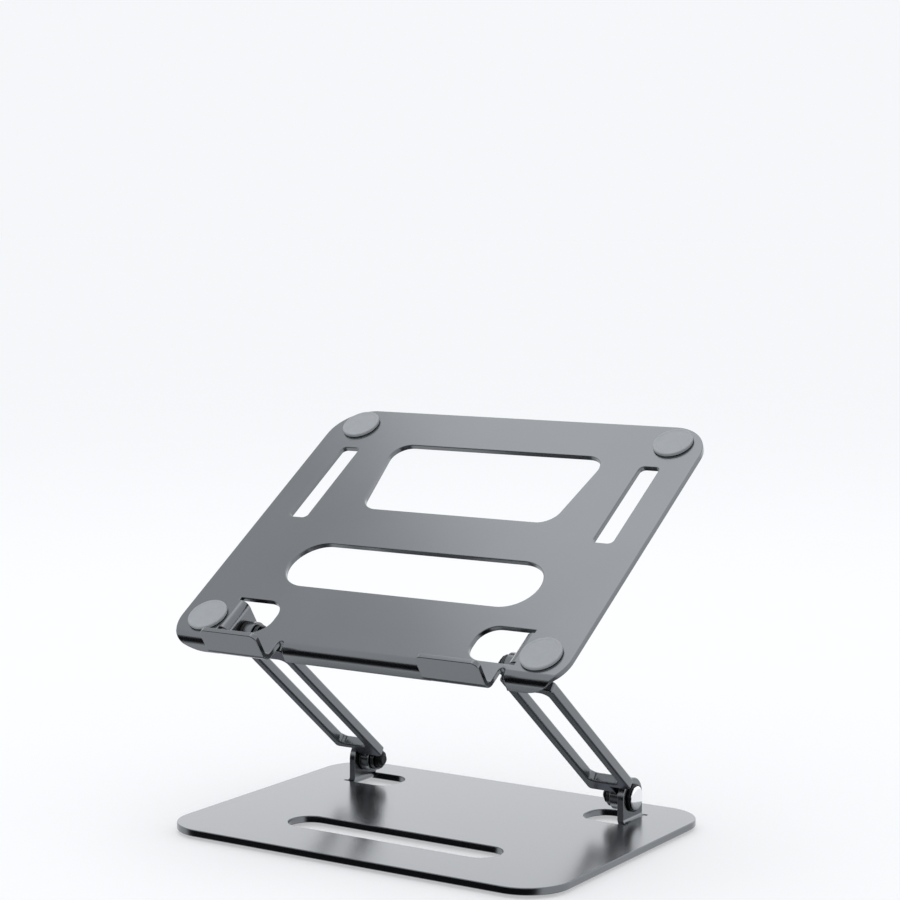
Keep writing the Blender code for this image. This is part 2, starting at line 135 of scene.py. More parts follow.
FOOT_RADIUS = 0.007
FOOT_SPREAD = 0.111
FOOT_ROWS = (0.020, 0.170)
PAD_RADIUS = 0.0118
PAD_HEIGHT = 0.0018
PAD_PLACES = ((0.110, 0.0185), (0.108, 0.1975))
HOOK_PAD_THICKNESS = 0.0012
HOOK_PAD_MARGIN = 0.003

SHEET_EDGE = 0.0005         # radius of a sheet's tumbled edges
ARM_EDGE = 0.0011
EDGE_STEPS = 3
CORNER_STEPS = 12
FOLD_STEPS = 12
ROUND_STEPS = 48
SHARP_ANGLE = math.radians(38)
SPARE = 0.001               # how far a cutter runs past what it cuts
TOUCH = 1e-5                # tolerance for picking by place
SIDES = ((-1, "left"), (1, "right"))

FLOOR_SIZE = 60.0
CUTTER_REACH = 0.01             # how far cutters pass a sheet's middle
BORE_OVERRUN = 0.002
FULL_ROUND = 0.9995             # a corner this near to a half circle keeps two separate points
SLIT_ROUND = 0.999
TONGUE_EDGE = 0.0008
BARREL_EDGE = 0.0006
HARDWARE_BEVEL = 0.0004
CAP_WALL = 0.35                 # the part of a cap's height that is straight
CAP_RINGS = 8
CAP_CROWN = 0.9
SPIGOT_EDGE = 0.0002
WASHER_EDGE = 0.00015
SPRING_EDGE = 0.0001
SPRING_CONE = 0.38              # how far each disc is coned, of its share of the stack
NUT_COLLAR = 0.0006
NUT_CHAMFER = 0.0004            # twice this stays below the height of the hexagon
NUT_TURNED = 0.985
COLLAR_SHARE = 0.8
FOOT_TAPER = 0.965
FOOT_UNDERSIDE = ((0.0005, 0.0), (0.0017, 0.0), (0.0003, -0.0005))    # inward, outward from the face
PAD_RIM = 0.0007
PAD_DISH = ((0.0009, 0.0), (0.0004, -0.0002), (0.0004, 0.0))
LINER_RIBS = 11
LINER_GROOVE = ((0.0004, 0.0), (0.0002, -0.0002))
LINER_EDGE = 0.0003

# ---- camera and light ---------------------------------------------------------------------------
LENS = 92.64                    # millimetres, as is the sensor
SENSOR_WIDTH = 36.0
CAMERA_PLACE = (0.7103, -1.0864, 0.3490)
CAMERA_DIP = 5.73               # degrees below level
CAMERA_SWING = 32.76            # degrees about Z
TOP_LIGHT_PLACE = (-0.3, 0.5, 1.6)
TOP_LIGHT_SIZE = (1.2, 1.2)
TOP_LIGHT_POWER = 4.0
TENT_COLOUR = (0.955, 0.965, 0.99, 1.0)
SCREEN_COLOUR = (0.006, 0.006, 0.008, 1.0)
SCREEN_FRONT = (0.35, 0.62)     # how far forward a direction points, where the screen begins and is full
SCREEN_TOP = (-0.32, -0.14)     # minus how far it points up, likewise
BAND_COLOUR = (1.55, 1.56, 1.60, 1.0)
BAND_BACK = (0.35, 0.60)        # how far back a direction points, where the bright band begins and is full
BAND_TOP = (0.30, 0.50)
BAND_FOOT = (-0.12, 0.02)
SHADE_COLOUR = (0.24, 0.25, 0.29, 1.0)
SHADE_BACK = (-0.05, 0.15)
SHADE_DOWN = (0.50, 0.70)
BACKDROP_COLOUR = (0.916, 0.930, 0.954, 1.0)
FLOOR_GLOW = 0.40


# ---- modelling by hand, in code -----------------------------------------------------------------
def deselect():
    bpy.ops.object.select_all(action="DESELECT")


def activate(obj):
    deselect()
    obj.select_set(True)
    bpy.context.view_layer.objects.active = obj


def edit(obj):
    activate(obj)
    bpy.ops.object.mode_set(mode="EDIT")


def leave():
    bpy.ops.object.mode_set(mode="OBJECT")


def apply_place(obj):
    activate(obj)
    bpy.ops.object.transform_apply(location=True, rotation=True, scale=True)


def block(name, low, high):
    """A box from its low corner to its high one."""
    deselect()
    low, high = Vector(low), Vector(high)
    bpy.ops.mesh.primitive_cube_add(size=1, location=(low + high) / 2)
    obj = bpy.context.object
    obj.name = name
    obj.scale = high - low
    apply_place(obj)
    return obj


def rod(name, low, high, radius, steps=ROUND_STEPS, axis="X", centre=(0.0, 0.0)):
    """A cylinder along X or Z from low to high, centred on the other two coordinates."""
    deselect()
    middle = (low + high) / 2
    place = (middle, *centre) if axis == "X" else (*centre, middle)
    turn = (0.0, math.pi / 2, 0.0) if axis == "X" else (0.0, 0.0, 0.0)
    bpy.ops.mesh.primitive_cylinder_add(vertices=steps, radius=radius, depth=high - low,
                                        location=place, rotation=turn)
    obj = bpy.context.object
    obj.name = name
    apply_place(obj)
    return obj


def choose(obj, mode, test):
    """Selects, in edit mode, just the VERT, EDGE or FACE parts that pass the test."""
    bpy.ops.mesh.select_mode(type=mode)
    bpy.ops.mesh.select_all(action="DESELECT")
    work = bmesh.from_edit_mesh(obj.data)
    work.verts.ensure_lookup_table()
    parts = {"VERT": work.verts, "EDGE": work.edges, "FACE": work.faces}[mode]
    chosen = [part for part in parts if test(part)]
    if not chosen:
        raise ValueError(f"nothing to choose on {obj.name}")
    for part in chosen:
        part.select_set(True)
    work.select_flush_mode()
    bmesh.update_edit_mesh(obj.data)


def middle_of(edge):
    return (edge.verts[0].co + edge.verts[1].co) / 2


def along(edge, axis):
    """Whether an edge runs along one axis."""
    line = (edge.verts[1].co - edge.verts[0].co).normalized()
    return abs(line[axis]) > 0.999


def facing(axis, sign, past=0.999):
    """A test for faces that look along one axis; sign 0 takes both ways."""
    if sign:
        return lambda face: face.normal[axis] * sign > past
    return lambda face: abs(face.normal[axis]) > past


def round_corners(obj, radius, places, steps=CORNER_STEPS):
    """Rounds the upright edges that stand at these (x, y) places, or all of them."""
    def upright(edge):
        middle = middle_of(edge)
        near = places is None or any(
            math.hypot(middle.x - x, middle.y - y) < TOUCH for x, y in places)
        return along(edge, 2) and near

    edit(obj)
    choose(obj, "EDGE", upright)
    bpy.ops.mesh.bevel(offset=radius, segments=steps, affect="EDGES")
    leave()


def combine(obj, other, operation):
    """Cuts the other shape from obj, or joins it on, and removes the other shape."""
    modifier = obj.modifiers.new(operation.lower(), "BOOLEAN")
    modifier.operation = operation
    modifier.solver = "EXACT"
    modifier.object = other
    activate(obj)
    bpy.ops.object.modifier_apply(modifier=modifier.name)
    bpy.data.objects.remove(other, do_unlink=True)


def cut(obj, other):
    combine(obj, other, "DIFFERENCE")


def soften_faces(obj, radius, steps=EDGE_STEPS):
    """Rounds all the rims of the faces that look up or down, by insets that climb a quarter circle."""
    edit(obj)
    choose(obj, "FACE", facing(2, 0))
    turns = [math.pi / 2 * step / steps for step in range(steps + 1)]
    for before, after in zip(turns, turns[1:]):
        bpy.ops.mesh.inset(thickness=radius * (math.cos(before) - math.cos(after)),
                           depth=radius * (math.sin(after) - math.sin(before)),
                           use_even_offset=True, use_boundary=True)
    leave()


def soften_edges(obj, radius, test, steps=EDGE_STEPS):
    edit(obj)
    choose(obj, "EDGE", test)
    bpy.ops.mesh.bevel(offset=radius, segments=steps, affect="EDGES")
    leave()


def turn(angle, axis, centre):
    """Turns the selection right-handed about an axis through centre; the operator's sign is reversed."""
    bpy.ops.transform.rotate(value=-angle, orient_axis=axis, center_override=centre)


def fold_tab(obj, on_tab, axis, start, toward, radius, rises):
    """Folds the tab beyond a line across the sheet: slides it back and turns it, a little at a time.

    The line is at start on the axis (0 is X, 1 is Y) and the tab lies toward (+1 or -1) it. The radius is
    that of the middle of the sheet, which lies at Z = 0, and rises is 1 to fold up and -1 to fold down.
    """
    arc = radius * math.pi / 2
    stride = arc / FOLD_STEPS
    normal = Vector((1.0, 0.0, 0.0)) if axis == 0 else Vector((0.0, 1.0, 0.0))
    edit(obj)
    bpy.ops.mesh.select_mode(type="VERT")
    for step in range(FOLD_STEPS + 1):
        bpy.ops.mesh.select_all(action="SELECT")
        bpy.ops.mesh.bisect(plane_co=normal * (start + toward * stride * step), plane_no=normal,
                            use_fill=False, clear_inner=False, clear_outer=False, threshold=1e-6)
    work = bmesh.from_edit_mesh(obj.data)
    lines = {}
    for vertex in work.verts:
        past = (vertex.co[axis] - start) * toward
        if past > TOUCH and on_tab(vertex.co):
            lines[vertex.index] = min(FOLD_STEPS, int(past / stride + 0.01))
    swing = math.pi / 2 / FOLD_STEPS * rises * (-toward if axis == 0 else toward)
    slide = normal * (-toward * stride)
    for step in range(FOLD_STEPS, 0, -1):
        choose(obj, "VERT", lambda vertex: lines.get(vertex.index, 0) >= step)
        bpy.ops.transform.translate(value=slide)
        centre = normal * (start + toward * stride * (step - 1))
        centre.z = rises * radius
        turn(swing, "Y" if axis == 0 else "X", centre)
    leave()


def copy_of(obj, name):
    """A copy with its own mesh."""
    twin = obj.copy()
    twin.data = obj.data.copy()
    twin.name = name
    bpy.context.scene.collection.objects.link(twin)
    return twin


def settle(obj, name, material, body, slot, *nodes):
    """Fixes the place, the shading and the finish of a piece, and ties it to its body."""
    apply_place(obj)
    edit(obj)
    bpy.ops.mesh.select_all(action="SELECT")
    bpy.ops.mesh.remove_doubles(threshold=1e-6)
    bpy.ops.mesh.normals_make_consistent(inside=False)
    leave()
    bpy.ops.object.shade_smooth_by_angle(angle=SHARP_ANGLE)
    weighted = obj.modifiers.new("weighted", "WEIGHTED_NORMAL")
    weighted.keep_sharp = True
    bpy.ops.object.modifier_apply(modifier=weighted.name)
    obj.name = name
    obj.data.name = name
    obj.data.materials.clear()
    obj.data.materials.append(material)
    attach(obj, body)
    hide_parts(*nodes)
    return obj


# ---- finishes -----------------------------------------------------------------------------------
class Wire:
    """A shader socket that takes part in sums; every sum adds its own Math node."""

    def __init__(self, tree, socket):
        self.tree = tree
        self.socket = socket

    def add(self, kind, settings=None, inputs=None, output=0):
        """The output of a new node, whose settings are made first and its sockets filled after."""
        node = self.tree.nodes.new(kind)
        for key, value in (settings or {}).items():
            if key == "stops":
                ramp = node.color_ramp
                while len(ramp.elements) < len(value):
                    ramp.elements.new(0.5)
                for element, (place, colour) in zip(ramp.elements, value):
                    element.position = place
                    element.color = (*colour, 1.0)
            else:
                setattr(node, key, value)
        for key, value in (inputs or {}).items():
            if isinstance(value, Wire):
                self.tree.links.new(value.socket, node.inputs[key])
            else:
                node.inputs[key].default_value = value
        return Wire(self.tree, node.outputs[output])

    def math(self, operation, first, second):
        return self.add("ShaderNodeMath", {"operation": operation}, {0: first, 1: second})

    def __add__(self, other):
        return self.math("ADD", self, other)

    __radd__ = __add__

    def __sub__(self, other):
        return self.math("SUBTRACT", self, other)

    def __rsub__(self, other):
        return self.math("SUBTRACT", other, self)

    def __mul__(self, other):
        return self.math("MULTIPLY", self, other)

    __rmul__ = __mul__

    def __truediv__(self, other):
        return self.math("DIVIDE", self, other)

    def __pow__(self, other):
        return self.math("POWER", self, other)

    def noise(self, scale, detail=3.0, roughness=0.55):
        """Noise from 0 to 1 over this position, with scale features in a metre."""
        return self.add("ShaderNodeTexNoise", {"noise_dimensions": "3D"},
                        {"Vector": self, "Scale": scale, "Detail": detail, "Roughness": roughness})

    def mix(self, low, high):
        """From one colour to another as this goes from 0 to 1."""
        return self.add("ShaderNodeMix", {"data_type": "RGBA"}, {0: self, 6: low, 7: high}, 2)


class Finish:
    """One material: its position wire, and the shader that it fills."""

    def __init__(self, name, metallic, specular=0.5):
        self.material = bpy.data.materials.new(name)
        self.material.use_nodes = True
        self.tree = self.material.node_tree
        self.shader = self.tree.nodes["Principled BSDF"]
        self.set(Metallic=metallic)
        self.shader.inputs["Specular IOR Level"].default_value = specular
        coordinates = self.tree.nodes.new("ShaderNodeTexCoord")
        self.place = Wire(self.tree, coordinates.outputs["Object"])

    def set(self, **values):
        for key, value in values.items():
            socket = self.shader.inputs[key.replace("_", " ")]
            if isinstance(value, Wire):
                self.tree.links.new(value.socket, socket)
            else:
                socket.default_value = value

    def bump(self, height, distance, strength=1.0):
        """Raises the surface by height times distance."""
        self.set(Normal=height.add("ShaderNodeBump", None,
                                   {"Height": height, "Distance": distance, "Strength": strength}))


def grey(value, blue=0.0):
    return (value * (1 - blue), value, value * (1 + blue), 1.0)


def anodised_aluminium():
    """Space-grey anodising over fine bead blasting: an even satin with a faint cloudiness."""
    finish = Finish("space_grey_anodising", 1.0)
    cloud = finish.place.noise(14.0, 2.0)
    grain = finish.place.noise(3200.0, 2.0, 0.7)
    tone = cloud * 0.5 + grain * 0.5
    finish.set(Base_Color=tone.mix(grey(0.165, 0.05), grey(0.215, 0.045)),
               Roughness=0.19 + cloud * 0.03 + grain * 0.05)
    finish.bump(grain, 0.000008, 0.4)
    return finish.material


def blackened_steel():
    """Black oxide over turned steel, worn a little lighter in patches."""
    finish = Finish("black_oxide_steel", 1.0)
    patch = finish.place.noise(420.0, 4.0)
    fine = finish.place.noise(5200.0, 2.0)
    finish.set(Base_Color=(patch ** 2.0).mix(grey(0.014, 0.05), grey(0.060, 0.03)),
               Roughness=0.26 + patch * 0.18)
    finish.bump(fine, 0.000012, 0.4)
    return finish.material


def bright_steel():
    """A polished plated cap, with the faint haze of handling."""
    finish = Finish("polished_plating", 1.0)
    haze = finish.place.noise(600.0, 3.0)
    finish.set(Base_Color=haze.mix(grey(0.80, 0.01), grey(0.88, 0.01)), Roughness=0.05 + haze * 0.08)
    finish.bump(finish.place.noise(1500.0, 1.0), 0.000004, 0.3)
    return finish.material


def friction_fibre():
    """Pressed friction fibre, matt and speckled."""
    finish = Finish("pressed_fibre", 0.0, 0.3)
    fleck = finish.place.noise(3000.0, 4.0, 0.7)
    finish.set(Base_Color=(fleck ** 2.0).mix(grey(0.012), grey(0.06, -0.05)), Roughness=0.7 + fleck * 0.2)
    finish.bump(fleck, 0.00006, 0.5)
    return finish.material


def spring_steel():
    """Dark oiled spring steel, with the rings that the punch left."""
    finish = Finish("oiled_spring_steel", 1.0)
    patch = finish.place.noise(700.0, 3.0)
    finish.set(Base_Color=patch.mix(grey(0.07, 0.06), grey(0.16, 0.04)), Roughness=0.22 + patch * 0.14)
    finish.bump(finish.place.noise(4000.0, 2.0), 0.00001, 0.4)
    return finish.material


def grey_silicone():
    """Soft light-grey silicone: matt, faintly dusty and a little uneven."""
    finish = Finish("grey_silicone", 0.0, 0.35)
    dust = finish.place.noise(220.0, 4.0)
    pore = finish.place.noise(3600.0, 2.0)
    finish.set(Base_Color=(dust * 0.7 + pore * 0.3).mix(grey(0.300, 0.05), grey(0.390, 0.04)),
               Roughness=0.52 + dust * 0.16)
    finish.shader.inputs["Subsurface Weight"].default_value = 0.06
    finish.shader.inputs["Subsurface Scale"].default_value = 0.002
    finish.bump(pore, 0.00004, 0.35)
    return finish.material


def black_rubber():
    """Moulded black rubber, scuffed grey where it stands."""
    finish = Finish("moulded_rubber", 0.0, 0.3)
    scuff = finish.place.noise(500.0, 4.0, 0.65)
    finish.set(Base_Color=(scuff ** 3.0).mix(grey(0.010), grey(0.09)), Roughness=0.62 + scuff * 0.25)
    finish.bump(finish.place.noise(2400.0, 3.0), 0.00005, 0.5)
    return finish.material


ANODISED = anodised_aluminium()
BLACK_STEEL = blackened_steel()
BRIGHT_STEEL = bright_steel()
FIBRE = friction_fibre()
SPRING_STEEL = spring_steel()
SILICONE = grey_silicone()
RUBBER = black_rubber()


# ---- the two folded sheets ----------------------------------------------------------------------
def blank(name, low, high, thickness):
    """A flat sheet centred on Z = 0, thinner by what the softened rims will add."""
    half = thickness / 2 - SHEET_EDGE
    return block(name, (*low, -half), (*high, half))


def cut_slot(sheet, x, y, length, width, radius):
    """A rounded opening, length along X and width along Y."""
    cutter = block("slot_cutter", (x - length / 2, y - width / 2, -CUTTER_REACH),
                   (x + length / 2, y + width / 2, CUTTER_REACH))
    round_corners(cutter, radius, None)
    cut(sheet, cutter)


def ear_numbers(thickness, drop):
    """Where an ear's fold begins, its mid-sheet radius, and where its hole lies in the flat blank."""
    start = EAR_OUTER + EAR_BEND
    radius = EAR_BEND + thickness / 2
    return start, radius, start - radius * math.pi / 2 - (drop - radius)


def cut_ear_window(sheet, side, row, start, hole):
    """Cuts the window round an ear's tab, and the tab's bolt hole."""
    def across(near, far):
        return sorted((side * near, side * far))

    root = start + EAR_RELIEF
    left, right = across(root, EAR_WINDOW_TIP)
    window = block("window_cutter", (left, row - EAR_WINDOW_HALF_WIDTH, -CUTTER_REACH),
                   (right, row + EAR_WINDOW_HALF_WIDTH, CUTTER_REACH))
    tips = [(side * EAR_WINDOW_TIP, row + y) for y in (-EAR_WINDOW_HALF_WIDTH, EAR_WINDOW_HALF_WIDTH)]
    round_corners(window, EAR_WINDOW_CORNER, tips)
    left, right = across(root + SPARE, hole - EAR_HALF_WIDTH)
    tab = block("tab", (left, row - EAR_HALF_WIDTH, -2 * CUTTER_REACH),
                (right, row + EAR_HALF_WIDTH, 2 * CUTTER_REACH))
    tips = [(side * (hole - EAR_HALF_WIDTH), row + y) for y in (-EAR_HALF_WIDTH, EAR_HALF_WIDTH)]
    round_corners(tab, EAR_HALF_WIDTH * FULL_ROUND, tips, 2 * CORNER_STEPS)
    cut(window, tab)
    cut(sheet, window)
    cut(sheet, rod("hole_cutter", -CUTTER_REACH, CUTTER_REACH, BORE_RADIUS, axis="Z",
                   centre=(side * hole, row)))


def fold_ear(sheet, side, row, start, radius, hole, rises):
    reach = EAR_HALF_WIDTH + EAR_MARGIN

    def on_ear(place):
        short = max(0.0, hole - side * place.x)
        return side * place.x > 0 and math.hypot(short, place.y - row) < reach

    fold_tab(sheet, on_ear, 0, side * start, -side, radius, rises)


def base_sheet():
    half_width = BASE_HIGH.x
    depth = BASE_HIGH.y - BASE_LOW.y
    sheet = blank("base_sheet", (-half_width, 0.0), (half_width, depth), BASE_SHEET)
    round_corners(sheet, BASE_CORNER, None, 2 * CORNER_STEPS)
    x, y, length, width = BASE_SLOT
    cut_slot(sheet, x, y, length, width, width / 2 * FULL_ROUND)
    start, radius, hole = ear_numbers(BASE_SHEET, PIVOT_ABOVE_BASE + BASE_SHEET / 2)
    for side, hand in SIDES:
        cut_ear_window(sheet, side, BASE_PIVOT_ROW, start, hole)
    soften_faces(sheet, SHEET_EDGE)
    for side, hand in SIDES:
        fold_ear(sheet, side, BASE_PIVOT_ROW, start, radius, hole, 1)
    sheet.location = (0.0, BASE_LOW.y, BASE_LOW.z + BASE_SHEET / 2)
    settle(sheet, "base_sheet", ANODISED, "base", "anodised_aluminium", "base_plate")


def place_on_tray(obj):
    """Moves a piece drawn from the tray's front edge and top face to where the tray stands."""
    obj.matrix_world = (Matrix.Translation(TRAY_PIVOT) @ Matrix.Rotation(TRAY_TILT, 4, "X")
                        @ Matrix.Translation((0.0, -TRAY_PIVOT_ROW, PIVOT_BELOW_TRAY)))


def on_hook(place):
    return HOOK_INNER - SLIT / 2 < abs(place.x) < HOOK_OUTER + SLIT / 2


def off_hook(place):
    return not on_hook(place)


def tray_sheet():
    half = TRAY_WIDTH / 2
    lip_start = TRAY_SHEET + LIP_BEND
    lip_radius = LIP_BEND + TRAY_SHEET / 2
    lip_edge = lip_start - lip_radius * math.pi / 2 - (LIP_DROP - TRAY_SHEET / 2 - lip_radius)
    hook_start = TRAY_SHEET + HOOK_BEND - HOOK_REACH
    hook_radius = HOOK_BEND + TRAY_SHEET / 2
    hook_edge = hook_start - hook_radius * math.pi / 2 - (HOOK_RISE + TRAY_SHEET / 2 - hook_radius)
    sheet = blank("tray_sheet", (-half, hook_edge), (half, TRAY_DEPTH), TRAY_SHEET)
    ahead = hook_edge - SPARE
    for side, hand in SIDES:
        for near, far in ((HOOK_INNER - SLIT, HOOK_INNER), (HOOK_OUTER, HOOK_OUTER + SLIT)):
            left, right = sorted((side * near, side * far))
            slit = block("slit_cutter", (left, ahead, -CUTTER_REACH), (right, SLIT_END, CUTTER_REACH))
            round_corners(slit, SLIT / 2 * SLIT_ROUND, [(left, SLIT_END), (right, SLIT_END)], 6)
            cut(sheet, slit)
        left, right = sorted((side * (HOOK_OUTER + SLIT / 2), side * (half + SPARE)))
        cut(sheet, block("front_cutter", (left, ahead, -CUTTER_REACH), (right, lip_edge, CUTTER_REACH)))
    inner = HOOK_INNER - SLIT / 2
    cut(sheet, block("front_cutter", (-inner, ahead, -CUTTER_REACH), (inner, lip_edge, CUTTER_REACH)))
    round_corners(sheet, TRAY_FRONT_CORNER, [(-half, lip_edge), (half, lip_edge)], 2 * CORNER_STEPS)
    round_corners(sheet, TRAY_BACK_CORNER, [(-half, TRAY_DEPTH), (half, TRAY_DEPTH)], 2 * CORNER_STEPS)
    round_corners(sheet, HOOK_CORNER, [(side * x, hook_edge) for side, hand in SIDES
                                       for x in (HOOK_INNER, HOOK_OUTER)])
    x, y, length, width = AIR_SLOT
    cut_slot(sheet, x, y, length, width, width / 2 * FULL_ROUND)
    cut(sheet, air_window_cutter())
    x, y, width, length = SIDE_SLOT
    start, radius, hole = ear_numbers(TRAY_SHEET, PIVOT_BELOW_TRAY - TRAY_SHEET / 2)
    for side, hand in SIDES:
        cut_slot(sheet, side * x, y, width, length, SIDE_SLOT_CORNER)
        cut_ear_window(sheet, side, TRAY_PIVOT_ROW, start, hole)
    soften_faces(sheet, SHEET_EDGE)
    for side, hand in SIDES:
        fold_ear(sheet, side, TRAY_PIVOT_ROW, start, radius, hole, -1)
    fold_tab(sheet, off_hook, 1, lip_start, -1, lip_radius, -1)
    fold_tab(sheet, on_hook, 1, hook_start, -1, hook_radius, 1)
    sheet.location = (0.0, 0.0, -TRAY_SHEET / 2)
    apply_place(sheet)
    place_on_tray(sheet)
    settle(sheet, "tray_sheet", ANODISED, "tray", "anodised_aluminium", "laptop_tray")


def air_window_cutter():
    """The large opening under the laptop, wider at its back."""
    front, back = AIR_WINDOW_ROWS
    narrow, wide = AIR_WINDOW_HALF_WIDTHS
    cutter = block("window_cutter", (-wide, front, -CUTTER_REACH), (wide, back, CUTTER_REACH))
    edit(cutter)
    choose(cutter, "VERT", lambda vertex: vertex.co.y < front + TOUCH)
    bpy.ops.transform.resize(value=(narrow / wide, 1.0, 1.0), center_override=(0.0, front, 0.0))
    leave()
    lean = math.atan2(wide - narrow, back - front)
    for x, y, opening in ((narrow, front, math.pi / 2 + lean), (wide, back, math.pi / 2 - lean)):
        reach = AIR_WINDOW_CORNER / math.tan(opening / 2)
        round_corners(cutter, reach, [(-x, y), (x, y)])
    return cutter


# ---- arms ---------------------------------------------------------------------------------------
def arm():
    """The right arm, flat, with its base pivot on the origin and its tray pivot towards -Y."""
    half = ARM_THICKNESS / 2 - ARM_EDGE
    plate = block("arm", (ARM_INNER, ARM_INNER_START - ARM_LENGTH, -half),
                  (ARM_OUTER, -ARM_INNER_START, half))
    tongue_in, tongue_out = KNUCKLE[0] + TONGUE_INSET, KNUCKLE[1] - TONGUE_INSET
    ends = ((0.0, -ARM_OUTER_START), (-ARM_LENGTH, ARM_OUTER_START - ARM_LENGTH))
    for low, high in ends:
        low, high = sorted((low, high))
        cut(plate, block("notch_cutter", (tongue_out - 4 * TONGUE_SHY, low, -CUTTER_REACH),
                         (ARM_OUTER + SPARE, high, CUTTER_REACH)))
    inner = [(ARM_INNER, -ARM_INNER_START), (ARM_INNER, ARM_INNER_START - ARM_LENGTH)]
    outer = [(ARM_OUTER, -ARM_OUTER_START), (ARM_OUTER, ARM_OUTER_START - ARM_LENGTH)]
    round_corners(plate, ARM_CORNER, inner + outer, 6)
    middle = (ARM_INNER + ARM_OUTER) / 2
    cut_slot(plate, middle, -ARM_LENGTH / 2, ARM_OUTER - ARM_INNER - 2 * ARM_RAIL,
             ARM_LENGTH - 2 * ARM_SLOT_START, ARM_SLOT_CORNER)
    soften_faces(plate, ARM_EDGE, 5)
    for pivot, toward in ((0.0, -1), (-ARM_LENGTH, 1)):
        reach = pivot + toward * (ARM_INNER_START + TONGUE_OVERLAP)
        low, high = sorted((pivot, reach))
        flat = ARM_THICKNESS / 2 - TONGUE_SHY
        tongue = block("tongue", (tongue_in, low, -flat), (tongue_out, high, flat))
        soften_edges(tongue, TONGUE_EDGE, lambda edge: along(edge, 1))
        barrel = rod("barrel", *KNUCKLE, KNUCKLE_RADIUS, 2 * ROUND_STEPS, centre=(pivot, 0.0))
        soften_edges(barrel, BARREL_EDGE, lambda edge: not along(edge, 0))
        combine(tongue, barrel, "UNION")
        combine(plate, tongue, "UNION")
        cut(plate, rod("bore_cutter", KNUCKLE[0] - BORE_OVERRUN, KNUCKLE[1] + BORE_OVERRUN, BORE_RADIUS,
                       centre=(pivot, 0.0)))
    return plate


def arms():
    right = arm()
    left = copy_of(right, "arm")
    for obj, hand, roll in ((right, "right", 0.0), (left, "left", math.pi)):
        obj.matrix_world = (Matrix.Translation(BASE_PIVOT) @ Matrix.Rotation(-ARM_ANGLE, 4, "X")
                            @ Matrix.Rotation(roll, 4, "Y"))
        settle(obj, f"link_arm_{hand}", ANODISED, "arms", "anodised_aluminium", f"arm_{hand}")


# ---- hinge hardware, each modelled once along X about the origin ---------------------------------
def rims(*places):
    """A test for ring edges that lie at these distances along X."""
    def test(edge):
        middle = middle_of(edge)
        return not along(edge, 0) and any(abs(middle.x - x) < TOUCH for x in places)
    return test


def bolt():
    """A low head with a hexagon socket on a shank whose end is threaded."""
    head_low = EAR_OUTER + GAP
    head_high = head_low + BOLT_HEAD_HEIGHT
    head = rod("bolt", head_low, head_high, BOLT_HEAD_RADIUS, 2 * ROUND_STEPS)
    soften_edges(head, HARDWARE_BEVEL, rims(head_high))
    shank = rod("shank", BOLT_TAIL + THREAD_PITCH * THREAD_TURNS, head_low + BOLT_HEAD_HEIGHT / 3,
                BOLT_RADIUS)
    shrink = 1 - THREAD_DEPTH / BOLT_RADIUS
    edit(shank)
    choose(shank, "FACE", facing(0, -1))
    for half_turn in range(2 * THREAD_TURNS):
        bpy.ops.mesh.extrude_region_move(
            TRANSFORM_OT_translate={"value": (-THREAD_PITCH / 2, 0.0, 0.0)})
        size = shrink if half_turn % 2 == 0 else 1 / shrink
        bpy.ops.transform.resize(value=(1.0, size, size), center_override=(0.0, 0.0, 0.0))
    bpy.ops.transform.resize(value=(1.0, shrink, shrink), center_override=(0.0, 0.0, 0.0))
    leave()
    combine(head, shank, "UNION")
    cut(head, rod("socket_cutter", head_high - SOCKET_DEPTH, head_high + SPARE, SOCKET_RADIUS, 6))
    return head


def cap():
    low = EAR_OUTER + BOLT_HEAD_HEIGHT + 2 * GAP
    spigot, reach = CAP_SPIGOT
    dome = rod("cap", low, low + CAP_HEIGHT * CAP_WALL, CAP_RADIUS, 2 * ROUND_STEPS)
    edit(dome)
    choose(dome, "FACE", facing(0, 1))
    turns = [math.pi / 2 * step / CAP_RINGS for step in range(CAP_RINGS + 1)]
    for before, after in zip(turns[:-1], turns[1:]):
        inward = CAP_RADIUS * (math.cos(before) - math.cos(after))
        if after == turns[-1]:
            inward *= CAP_CROWN
        bpy.ops.mesh.inset(thickness=inward,
                           depth=CAP_HEIGHT * (1 - CAP_WALL) * (math.sin(after) - math.sin(before)))
    choose(dome, "FACE", lambda face: face.normal.x < -0.999)
    bpy.ops.mesh.inset(thickness=CAP_RADIUS - spigot, depth=0.0)
    bpy.ops.mesh.extrude_region_move(TRANSFORM_OT_translate={"value": (-reach, 0.0, 0.0)})
    leave()
    soften_edges(dome, SPIGOT_EDGE, rims(low, low - reach), 2)
    return dome


def ring(name, low, high, radius, bore, rim):
    """A flat ring: a disc whose two faces are inset to the bore and bridged."""
    disc = rod(name, low, high, radius, 2 * ROUND_STEPS)
    if rim:
        soften_edges(disc, rim, rims(low, high), 2)
    edit(disc)
    choose(disc, "FACE", facing(0, 0))
    bpy.ops.mesh.inset(thickness=radius - rim - bore, depth=0.0)
    bpy.ops.mesh.bridge_edge_loops()
    leave()
    return disc


def friction_washer(sheet_thickness):
    return ring("washer", KNUCKLE[1] + GAP, EAR_OUTER - sheet_thickness - GAP, WASHER_RADIUS,
                BORE_RADIUS, WASHER_EDGE)


